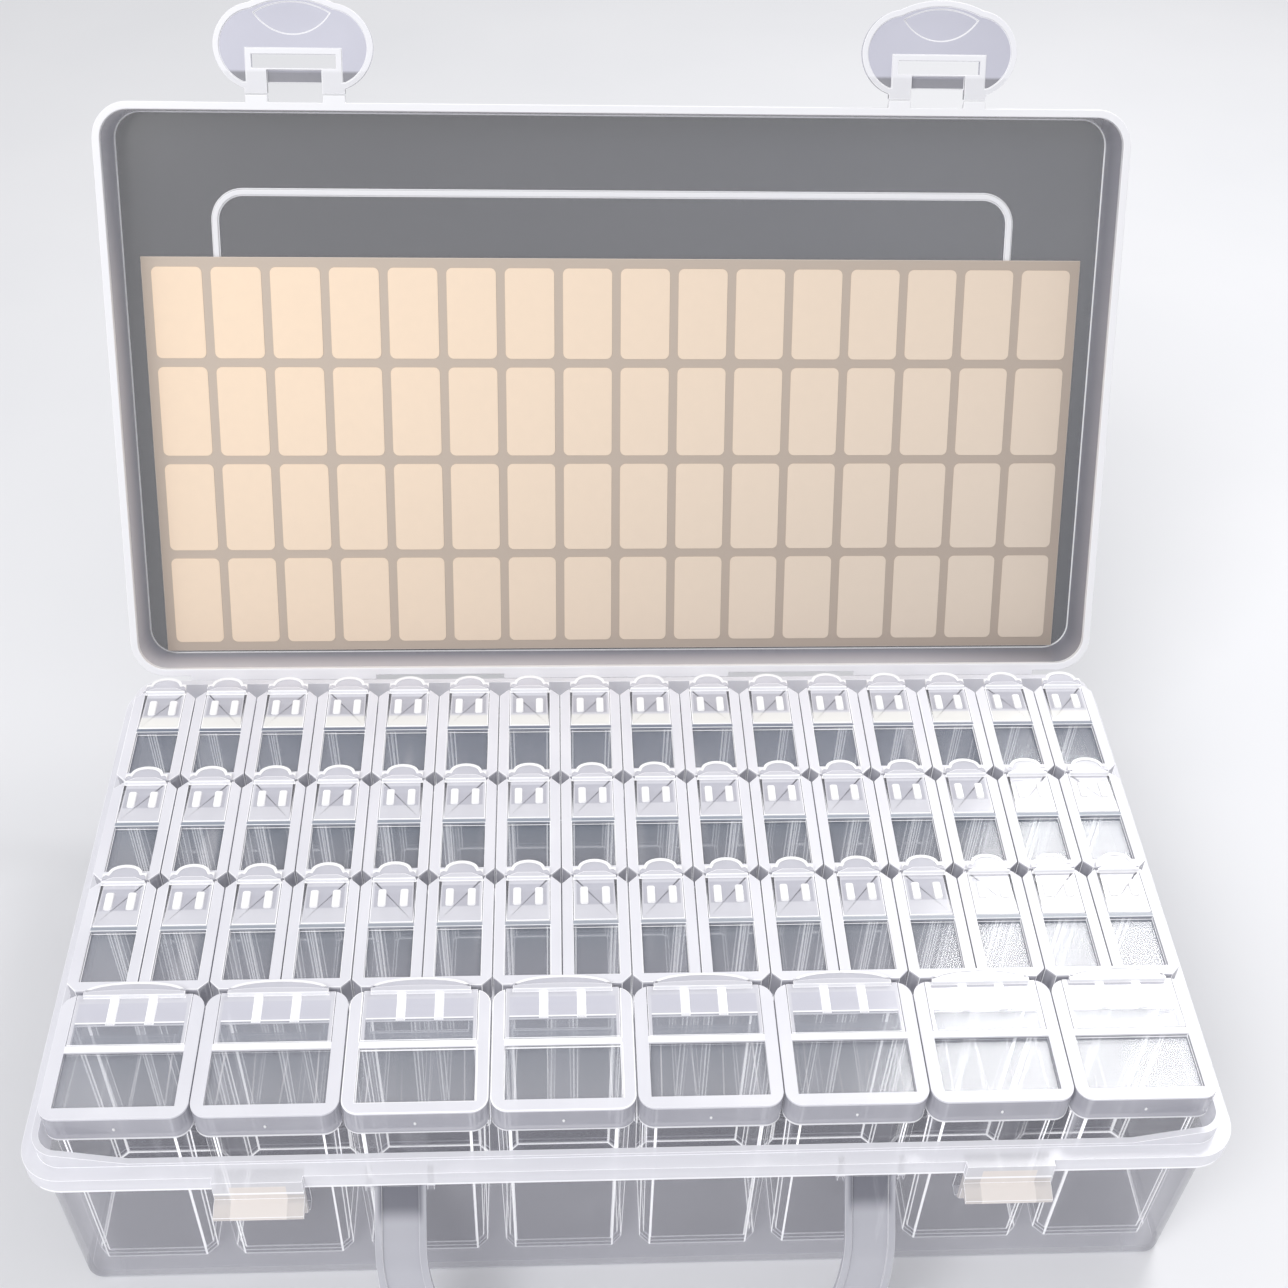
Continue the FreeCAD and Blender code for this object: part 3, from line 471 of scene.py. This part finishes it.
def lid_plastic():
    look = Look("lid_plastic")
    deep = look.across(DEEP, HINGE)
    along = look.across(ALONG, HINGE)
    x = look.across(SIDE)
    rim = deep.under(RIM_DEEP, 0.2)
    panel = deep.over(PANEL_DEEP, 0.2)
    ridge = deep.near(RIDGE_DEEP, 0.24, 0.08) * abs(x).under(RIDGE_SIDE, 0.5)
    ridge = ridge * along.near(RIDGE_MIDDLE, RIDGE_REACH, 1.0)
    cloud = look.grain(14.0, 3.0)
    # painted shade: the darkness seen through the clear panel, lighter towards the right
    painted_dark_behind = look.mix(x.rise(-LID_HALF, LID_HALF), seen(14, 14, 19), seen(34, 38, 50))
    panel_tone = look.mix(cloud * 0.4, painted_dark_behind, seen(48, 48, 54))
    # painted shade darkens the walls deeper into the hollow and towards the right
    wall_tone = look.mix(deep.rise(1.0, 12.0), seen(212, 211, 220), seen(158, 158, 172))
    wall_tone = look.mix(x.rise(60.0, LID_HALF) * 0.5, wall_tone, seen(104, 104, 116))
    colour = look.mix(panel, wall_tone, panel_tone)
    colour = look.mix(rim, colour, seen(240, 240, 244))
    # painted highlight: the ridge's crisp white line
    colour = look.mix(ridge, colour, seen(238, 238, 242))
    alpha = 0.76 - panel * 0.2 + rim * 0.22 + ridge * 0.4
    ripples = look.grain(30.0, 2.0, (1, 1, 1), 9.0)
    return look.finish(colour, 0.2 + rim * 0.1, alpha.smaller(0.98), look.bump(ripples, 0.1, RIPPLE))


dress(nodes["lid"], lid_plastic(), RIM_EDGE, LID_STRIP)
film = edge_plastic("hinge_film_plastic", (226, 226, 232), 0.8)
for side in ("left", "centre", "right"):
    dress(nodes["hinge_film_" + side], film, RIM_EDGE, FILM_STRIP)

# %% [markdown]
# The latches are moulded with the lid, but thick enough to look lilac grey and nearly solid. A raised border
# runs round each and is whiter. A picture could carry that border, but it stands above the field inside it,
# so a mask by depth finds it and no outline has to be drawn. The crease near the lid is thinner, so clearer,
# and painted darker: painted shade in the fold. The handle is a flat band of the same plastic, clearer than
# the latches, with a thin bead along its edges. Where its arms go in under the tray's flange, a painted
# shadow darkens them.


# %% latch and handle plastic
BORDER_DEEP, CREASE_ALONG = 0.21, 135.4
BAND_TOP, BAND_PLACE = 34.5, 43.6
LATCH_STRIP, HANDLE_STRIP = 0.28, 0.25


def latch_plastic():
    look = Look("latch_plastic")
    deep = look.across(DEEP, HINGE)
    along = look.across(ALONG, HINGE)
    border = deep.under(BORDER_DEEP, 0.09)
    crease = along.under(CREASE_ALONG, 0.4)
    cloud = look.grain(45.0, 2.0)
    colour = look.mix(cloud, seen(198, 198, 212), seen(214, 214, 227))
    # painted shade: the crease is painted darker in the fold
    colour = look.mix(crease * (1 - border), colour, seen(150, 150, 158))
    colour = look.mix(border, colour, seen(238, 238, 243))
    return look.finish(colour, 0.24, 0.9 - crease * 0.15 + border * 0.08)


def handle_plastic():
    look = Look("handle_plastic")
    x = abs(look.across(SIDE))
    # painted shadow where the handle's arms go in under the flange
    painted_flange_shadow = look.across(UP).over(BAND_TOP, 1.5) * x.near(BAND_PLACE, 4.0, 0.6)
    cloud = look.grain(30.0, 2.0)
    shade = look.mix(cloud, seen(190, 191, 201), seen(207, 207, 215))
    colour = look.mix(painted_flange_shadow, shade, seen(128, 129, 140))
    return look.finish(colour, 0.2, 0.72 - cloud * 0.1)


latch_look = latch_plastic()
for side in ("left", "right"):
    dress(nodes["latch_" + side], latch_look, RIM_EDGE, LATCH_STRIP)
dress(nodes["handle"], handle_plastic(), CAP_EDGE, HANDLE_STRIP)
print("latches and handle dressed")

# %% [markdown]
# Each bottle is a clear jar, a pressed-on collar and a hinged flap. The bottles repeat on a fixed pitch, so
# one material can serve a whole row: `repeat` folds the place along the row into one cell, and the masks
# work inside that cell. Each collar has a milky border round a sunk, clear window, tinted blue grey as
# painted shade for the dim jar inside it, and the jar's white lines, painted highlights, show through it; on
# the large collars more such lines are painted on the window itself. Each flap is milky too, with a smoother
# zone where a thumb presses. The places of these forms are read from the packed pieces, and the rest follows
# from the pitch, the collar's half width and its border.

# %% rows of bottles
SMALL_COLUMNS, LARGE_COLUMNS, LARGE_ROW = 16, 8, 4
SMALL = {"pitch": 13.5, "half": 6.6, "border": 2.1}
LARGE = {"pitch": 27.0, "half": 13.35, "border": 2.4}


def row_sizes(collar, hinge, lengths):
    """Lengths in millimetres: front and back are counted from the flap's hinge line."""
    low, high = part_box(collar)
    line = joint_called(hinge)["pos_m"][1]
    measured = {"hinge": line, "front": low.y - line, "back": high.y - line}
    measured.update(top=high.z, deep=high.z - low.z)
    return {**lengths, **{key: value / MM for key, value in measured.items()}}


ROWS = {row: row_sizes(f"small_collars_row_{row}", f"flap_row_{row}_hinge", SMALL) for row in (1, 2, 3)}
ROWS[LARGE_ROW] = row_sizes("large_collar_1", "flap_large_1_hinge", LARGE)
for row, sizes in ROWS.items():
    print("row", row, {key: round(value, 2) for key, value in sizes.items()})


# %% jar plastic
FOOT_LINE, FLOOR_LINE = 1.9, 3.3


def cell(look, row):
    """The place inside one bottle's cell: across, behind the hinge line, and down from the collar's top."""
    sizes = ROWS[row]
    u = abs(look.across(SIDE).repeat(sizes["pitch"]))
    v = look.across(BACK) - sizes["hinge"]
    drop = sizes["top"] - look.across(UP)
    return sizes, u, v, drop


def jar_plastic(row):
    look = Look(f"jar_plastic_row_{row}")
    sizes, u, v, drop = cell(look, row)
    ends = v.under(sizes["front"] + 2.9, 0.7) + v.over(sizes["back"] - 2.9, 0.7)
    corner = u.over(sizes["half"] - 2.0, 0.6) * ends
    height = sizes["top"] - drop
    lines = height.near(FOOT_LINE, 0.3, 0.08) + height.near(FLOOR_LINE, 0.22, 0.08)
    cloud = look.grain(50.0, 2.0, (1, 1, 0.2), 3.0)
    streak = look.grain(160.0, 1.0, (1.0, 1.0, 0.06), 11.0).rise(0.6, 0.72)
    colour = look.mix(cloud, seen(146, 147, 156), seen(172, 172, 180))
    # painted highlights: the white corners and the lines at the foot and floor; the thin white streaks are
    # painted on as well
    colour = look.mix((corner * 0.7 + lines + streak * 0.3).smaller(1.0), colour, seen(232, 232, 238))
    alpha = 0.14 + corner * 0.4 + lines * 0.7 + cloud * 0.08 + streak * 0.12
    return look.finish(colour, 0.1, alpha.smaller(0.95), glow=0.12)


jar_looks = {row: jar_plastic(row) for row in ROWS}
print("jar plastics:", len(jar_looks))


# %% collar plastic
WHITE, MILK = (246, 246, 250), ((212, 212, 221), (228, 228, 235))
# painted shade: each row's windows get their own blue grey, changing from front to back, for the dim jar
# seen through them
WINDOWS = {1: ((132, 138, 152), (112, 120, 137)), 2: ((152, 155, 166), (138, 146, 160)),
           3: ((164, 166, 177), (150, 156, 168)), 4: ((180, 182, 191), (162, 166, 177))}
PLATE_DROP, WELL_DROP, HEM, BAR_MIDDLE, BAR_REACH = 0.65, 2.35, 0.55, -0.6, 1.0


def collar_plastic(row):
    look = Look(f"collar_plastic_row_{row}")
    sizes, u, v, drop = cell(look, row)
    inside, front = sizes["half"] - sizes["border"], sizes["front"] + sizes["border"]
    plate = drop.over(PLATE_DROP, 0.15) * drop.under(WELL_DROP, 0.15) * u.under(inside, 0.1)
    plate = plate * v.over(front, 0.1) * v.under(sizes["back"] - 0.8, 0.1)
    top = drop.under(0.45, 0.15)
    bar = top * v.near(BAR_MIDDLE, BAR_REACH, 0.1) * u.under(inside, 0.1)
    hem = drop.over(sizes["deep"] - HEM, 0.05)
    cloud = look.grain(70.0, 2.0, (1, 1, 1), 2.0)
    glints = look.grain(120.0, 1.0, (1.0, 0.12, 0.1), 7.0).rise(0.62, 0.74)
    skirt = look.mix(cloud, seen(168, 168, 178), seen(186, 186, 195))
    # painted highlight: the white line at the foot of the skirt
    skirt = look.mix(hem, skirt, seen(*WHITE))
    border = look.mix(cloud, seen(*MILK[0]), seen(*MILK[1]))
    near, far = WINDOWS[row]
    window = look.mix(v.rise(-12.0, 2.0), seen(*near), seen(*far))
    window = look.mix(glints * 0.6, window, seen(205, 206, 214))
    if row == LARGE_ROW:
        # painted highlights: the jar's bright edges, drawn on the large windows
        lines = (u + v * 0.03).near(8.6, 0.12, 0.08) + (u - v * 0.05).near(3.1, 0.12, 0.08) * 0.6
        window = look.mix(lines * look.grain(25.0, 1.0).rise(0.3, 0.6), window, seen(236, 236, 242))
    colour = look.mix(top, skirt, border)
    colour = look.mix(plate, colour, window)
    colour = look.mix(bar, colour, seen(*WHITE) if row == LARGE_ROW else seen(*far))
    alpha = 0.7 + (top + hem) * 0.22 - plate * 0.34
    return look.finish(colour, 0.12 + top * (1 - plate) * 0.3, alpha, glow=0.06, gloss=1.0)


collar_looks = {row: collar_plastic(row) for row in ROWS}
print("collar plastics:", len(collar_looks))


# %% flap plastic
STEP_BACK, ZONE_MIDDLE, ZONE_REACH = 4.8, 7.0, 2.2
PRESS_MIDDLE, PRESS_REACH, PRESS_SIDE, BAND_BACK = 6.5, 2.7, 3.75, 3.25


def flap_plastic(row):
    look = Look(f"flap_plastic_row_{row}")
    sizes, u, v, drop = cell(look, row)
    # painted highlight: the flap's sides are painted white
    side = abs(look.axis(look.facing, UP)).fall(0.35, 0.6)
    tab = v.over(sizes["back"] - 0.8, 0.1)
    white = drop.under(-0.15, 0.05) * (1 - tab)
    cloud = look.grain(80.0, 2.0, (1, 1, 1), 5.0)
    colour = look.mix(cloud, seen(*MILK[0]), seen(*MILK[1]))
    if row == LARGE_ROW:
        inner = u.under(10.1, 0.1)
        clear = v.under(STEP_BACK - 0.1, 0.1) * inner
        zone = v.near(ZONE_MIDDLE, ZONE_REACH, 0.15) * inner
        white = white + v.near(STEP_BACK, 0.18, 0.06) * inner
        layers = ((clear, (172, 175, 186)), (zone, (210, 210, 221)))
        alpha = 0.72 - clear * 0.35
    else:
        zone = v.near(PRESS_MIDDLE, PRESS_REACH, 0.25) * u.under(PRESS_SIDE, 0.15)
        layers = ((zone, (202, 202, 213)),)
        if row == 1:
            # painted highlight: a white band by the hinge of the row 1 flaps only
            layers = ((zone, (200, 200, 210)), (v.under(BAND_BACK, 0.35) * 0.85, (249, 248, 244)))
        alpha = 0.72 - zone * 0.1
    for mask, tone in layers:
        colour = look.mix(mask, colour, seen(*tone))
    colour = look.mix(tab * 0.7, colour, seen(222, 222, 230))
    colour = look.mix((side * (1 - tab * 0.6) + white).smaller(1.0), colour, seen(*WHITE))
    alpha = alpha + side * 0.22 + white * 0.25
    return look.finish(colour, 0.12, alpha.smaller(0.97), glow=0.06, gloss=1.0)


flap_looks = {row: flap_plastic(row) for row in ROWS}
print("flap plastics:", len(flap_looks))


# %% dress the bottles
BOTTLE_LOOKS = (("jar", jar_looks, JAR_EDGE, 0.22), ("collar", collar_looks, CAP_EDGE, 0.28),
                ("flap", flap_looks, CAP_EDGE, 0.24))


def row_of(name):
    if name.startswith("large"):
        return LARGE_ROW
    return int(name.split("_row_")[1]) if "_row_" in name else int(name.split("_")[2])


for name, piece in nodes.items():
    for part, looks, edge, strip in BOTTLE_LOOKS:
        if part in name:
            dress(piece, looks[row_of(name)], edge, strip)
print("bottle pieces dressed:", sum(1 for name in nodes if "large_" in name or "small_" in name))

# %% [markdown]
# The label sheet is matt paper, warm where the light of the photograph falls at the upper left and beige at
# the lower right. Its labels have small round corners, which the CAD model leaves square. They are drawn
# again here as thin rounded tablets in the same places, and the CAD node is hidden.

# %% paper
PAPER_WARM, PAPER_COOL = seen(255, 230, 203), seen(224, 209, 194)
FIBRE_TONE, FIBRE_DEPTH = seen(198, 184, 170), 0.1 * MM
PAPER_STRIP = 0.1


def paper(name, light, dull, roughness):
    look = Look(name)
    to_right = look.across(SIDE).rise(-120.0, 125.0)
    to_foot = look.across(ALONG, HINGE).fall(5.0, 95.0)
    spread = to_right * 0.75 + to_foot * 0.35
    fibres = look.grain(420.0, 4.0)
    tone = look.mix(spread.smaller(1.0), light, dull)
    tone = look.mix(fibres * 0.1, tone, FIBRE_TONE)
    return look.finish(tone, roughness, 1.0, look.bump(fibres, 0.15, FIBRE_DEPTH))


LABEL_PAPER = paper("label_paper", PAPER_WARM, PAPER_COOL, 0.62)
BACKING_PAPER = paper("backing_paper", seen(203, 188, 174), seen(180, 166, 155), 0.5)
PAPER_EDGE = paper("paper_edge", seen(240, 226, 212), seen(226, 214, 204), 0.6)
dress(nodes["label_backing"], BACKING_PAPER, PAPER_EDGE, PAPER_STRIP)
print("papers:", LABEL_PAPER.name, BACKING_PAPER.name)

# %% the labels' places
COLUMNS, LINES, GAP = 16, 4, 2.0 * MM
low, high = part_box("labels")
points = [vertex.co - HINGE for vertex in nodes["labels"].data.vertices]
reach = [pick(point.dot(ALONG) for point in points) for pick in (min, max)]
depth = [pick(point.dot(DEEP) for point in points) for pick in (min, max)]
wide = (high.x - low.x + GAP) / COLUMNS - GAP
tall = (reach[1] - reach[0] + GAP) / LINES - GAP
print("labels:", COLUMNS * LINES, "each", round(wide / MM, 2), "by", round(tall / MM, 2), "mm")

# %% rounded outlines and tablets
CORNER, TURNS = 1.3 * MM, 5


def rounded_outline(width, height, corner, turns):
    """The points round a rectangle with round corners, about its middle."""
    outline = []
    for number, (x, y) in enumerate(((1, 1), (-1, 1), (-1, -1), (1, -1))):
        for step in range(turns + 1):
            angle = math.pi / 2 * (number + step / turns)
            outline.append((x * (width / 2 - corner) + corner * math.cos(angle),
                            y * (height / 2 - corner) + corner * math.sin(angle)))
    return outline


def tablet(mesh, outline, place, across, along, out, thick, taper=0.0):
    """Adds a flat tablet: an outline at a place, raised along out, with its top a little smaller."""
    rings = []
    for level, scale in ((0.0, 1.0), (thick, 1 - taper)):
        spots = [place + across * x * scale + along * y * scale + out * level for x, y in outline]
        rings.append([mesh.verts.new(spot) for spot in spots])
    mesh.faces.new(rings[1])
    mesh.faces.new(rings[0][::-1])
    for number in range(len(outline)):
        after = (number + 1) % len(outline)
        mesh.faces.new((rings[0][number], rings[0][after], rings[1][after], rings[1][number]))


def piece_from(mesh, name, look):
    """Turns the drawn mesh into a piece of the scene, with its faces turned outward."""
    bmesh.ops.recalc_face_normals(mesh, faces=mesh.faces)
    data = bpy.data.meshes.new(name)
    mesh.to_mesh(data)
    mesh.free()
    data.materials.append(look)
    piece = bpy.data.objects.new(name, data)
    scene.collection.objects.link(piece)
    return piece


label_outline = rounded_outline(wide, tall, CORNER, TURNS)
print("points round one label:", len(label_outline))

# %% rounded labels
labels_mesh = bmesh.new()
for line in range(LINES):
    for column in range(COLUMNS):
        middle = HINGE + SIDE * (low.x + wide / 2 + column * (wide + GAP))
        middle += ALONG * (reach[0] + tall / 2 + line * (tall + GAP)) + DEEP * depth[1]
        tablet(labels_mesh, label_outline, middle, SIDE, ALONG, -DEEP, depth[1] - depth[0])
labels = piece_from(labels_mesh, "round_labels", LABEL_PAPER)
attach(labels, "label_sheet")
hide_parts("labels")
print("faces of the labels:", len(labels.data.polygons))

# %% [markdown]
# Two small white pips stand on each small flap, just in front of its lifting tab, where a fingertip presses
# it shut. The large flaps have theirs in the CAD model. A bump in the material could hint at them, but a
# real form shows its sides and its edge too. A tiny pip also sits on the front of each large collar's
# skirt, where the plastic was fed into the mould.

# %% pips on the flaps
PIP_WIDTH, PIP_LENGTH, PIP_RISE, PIP_CORNER = 1.7, 4.5, 0.3, 0.45
PIP_PLACE, PIP_BACK, PIP_SINK, PIP_TAPER, PIP_TURNS = 2.2, 6.15, 0.02, 0.12, 3
PIP_PLASTIC = edge_plastic("pip_plastic", (246, 246, 249), 0.96)
pip_outline = rounded_outline(PIP_WIDTH * MM, PIP_LENGTH * MM, PIP_CORNER * MM, PIP_TURNS)
alone = [name for name in nodes if name.startswith("small_flap_")]
singles = sorted(tuple(int(part) for part in name.split("_")[2:]) for name in alone)


def middle_of(row, column):
    """How far right of the box's middle a bottle stands, in millimetres."""
    count = LARGE_COLUMNS if row == LARGE_ROW else SMALL_COLUMNS
    return ROWS[row]["pitch"] * (column - (count + 1) / 2)


def shared_columns(row):
    """The small bottles of a row that share its nodes, because they don't stand alone."""
    return [column for column in range(1, SMALL_COLUMNS + 1) if (row, column) not in singles]


def add_pips(name, body, row, columns):
    mesh = bmesh.new()
    for column in columns:
        for side in (-1, 1):
            x = middle_of(row, column) + side * PIP_PLACE
            place = Vector((x, ROWS[row]["hinge"] + PIP_BACK, ROWS[row]["top"] - PIP_SINK)) * MM
            tablet(mesh, pip_outline, place, SIDE, BACK, UP, PIP_RISE * MM, PIP_TAPER)
    pips = piece_from(mesh, name, PIP_PLASTIC)
    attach(pips, body)


for row in (1, 2, 3):
    add_pips(f"pips_row_{row}", f"flap_row_{row}", row, shared_columns(row))
for row, column in singles:
    add_pips(f"pips_{row}_{column}", f"flap_{row}_{column}", row, [column])
print("small flaps with pips:", 3 * SMALL_COLUMNS, "of them alone:", len(singles))

# %% [markdown]
# Each flap ends in a thin thumb lip, a low dome that reaches back over the border of the bottle behind it.
# It is so thin that it bends when that bottle is lifted, so it isn't in the solid model. Its milky sheet is
# drawn here with a white rim round it, and it rides on its flap.

# %% one thumb lip
LIP_THICK, LIP_LIFT, LIP_BEAD, LIP_START, LIP_EASE, LIP_TURNS = 0.45, 0.2, 0.15, 0.1, 0.05, 12
SMALL_RIM, LARGE_RIM = 0.7, 0.5
SMALL_LIP = {"half": 4.35, "shoulder": 1.6, "dome": 3.4, "reach": 3.8}
LARGE_LIP = {"half": 9.5, "shoulder": 0.2, "dome": 9.3, "reach": 2.4}


def lip_outline(half, shoulder, dome, reach):
    """Counted from the middle of the collar's back edge: short straight sides, then a low dome."""
    outline = [(-half, LIP_START), (half, LIP_START), (half, shoulder - LIP_EASE)]
    for step in range(LIP_TURNS + 1):
        angle = math.pi * step / LIP_TURNS
        outline.append((dome * math.cos(angle), shoulder + (reach - shoulder) * math.sin(angle)))
    return outline + [(-half, shoulder - LIP_EASE)]


def add_lip(mesh, outline, place, rim):
    """A thin sheet with a raised rim. The rim takes the second material, but for its side at the flap."""
    inner = []
    for number, (x, y) in enumerate(outline):
        before, after = outline[number - 1], outline[(number + 1) % len(outline)]
        run = Vector((after[0] - before[0], after[1] - before[1])).normalized()
        inner.append((x - run.y * rim, y + run.x * rim))
    crest = LIP_THICK + LIP_BEAD
    rings = []
    for level, line in ((0.0, outline), (crest, outline), (crest, inner), (LIP_THICK, inner)):
        lift = place + UP * (LIP_LIFT + level)
        rings.append([mesh.verts.new((lift + Vector((x, y, 0))) * MM) for x, y in line])
    mesh.faces.new(rings[0][::-1])
    mesh.faces.new(rings[3])
    for low, high in zip(rings, rings[1:]):
        for number in range(len(outline)):
            after = (number + 1) % len(outline)
            wall = mesh.faces.new((low[number], low[after], high[after], high[number]))
            wall.material_index = 1 if number else 0


print("points round a small lip:", len(lip_outline(**SMALL_LIP)))


# %% thumb lips
def lip_plastic():
    look = Look("lip_plastic")
    milk = look.mix(look.grain(90.0, 2.0), seen(202, 202, 212), seen(218, 218, 227))
    return look.finish(milk, 0.12, 0.66, glow=0.06, gloss=1.0)


LIP_PLASTIC = lip_plastic()


def add_lips(name, row, columns):
    sizes = ROWS[row]
    lip, rim = (LARGE_LIP, LARGE_RIM) if row == LARGE_ROW else (SMALL_LIP, SMALL_RIM)
    mesh = bmesh.new()
    for column in columns:
        place = Vector((middle_of(row, column), sizes["hinge"] + sizes["back"], sizes["top"]))
        add_lip(mesh, lip_outline(**lip), place, rim)
    lips = piece_from(mesh, f"lips_{name}", LIP_PLASTIC)
    lips.data.materials.append(PIP_PLASTIC)
    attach(lips, f"flap_{name}")


for row in (1, 2, 3):
    add_lips(f"row_{row}", row, shared_columns(row))
for row, column in singles:
    add_lips(f"{row}_{column}", row, [column])
for column in range(1, LARGE_COLUMNS + 1):
    add_lips(f"large_{column}", LARGE_ROW, [column])
print("thumb lips:", 3 * SMALL_COLUMNS + LARGE_COLUMNS)

# %% feed points on the large collars
FEED_HALF_WIDTH, FEED_HALF_HEIGHT, FEED_DROP = 0.28, 0.45, 3.6
FEED_RISE, FEED_TAPER, FEED_SIDES = 0.12, 0.3, 8
feed_angles = [math.tau * turn / FEED_SIDES for turn in range(FEED_SIDES)]
feed_outline = [(FEED_HALF_WIDTH * MM * math.cos(angle), FEED_HALF_HEIGHT * MM * math.sin(angle))
                for angle in feed_angles]
skirt_front = ROWS[LARGE_ROW]["hinge"] + ROWS[LARGE_ROW]["front"]
for column in range(1, LARGE_COLUMNS + 1):
    mesh = bmesh.new()
    place = Vector((middle_of(LARGE_ROW, column), skirt_front, ROWS[LARGE_ROW]["top"] - FEED_DROP)) * MM
    tablet(mesh, feed_outline, place, SIDE, UP, -BACK, FEED_RISE * MM, FEED_TAPER)
    feed = piece_from(mesh, f"feed_point_{column}", PIP_PLASTIC)
    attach(feed, f"bottle_large_{column}")
print("feed points:", LARGE_COLUMNS)

# %% [markdown]
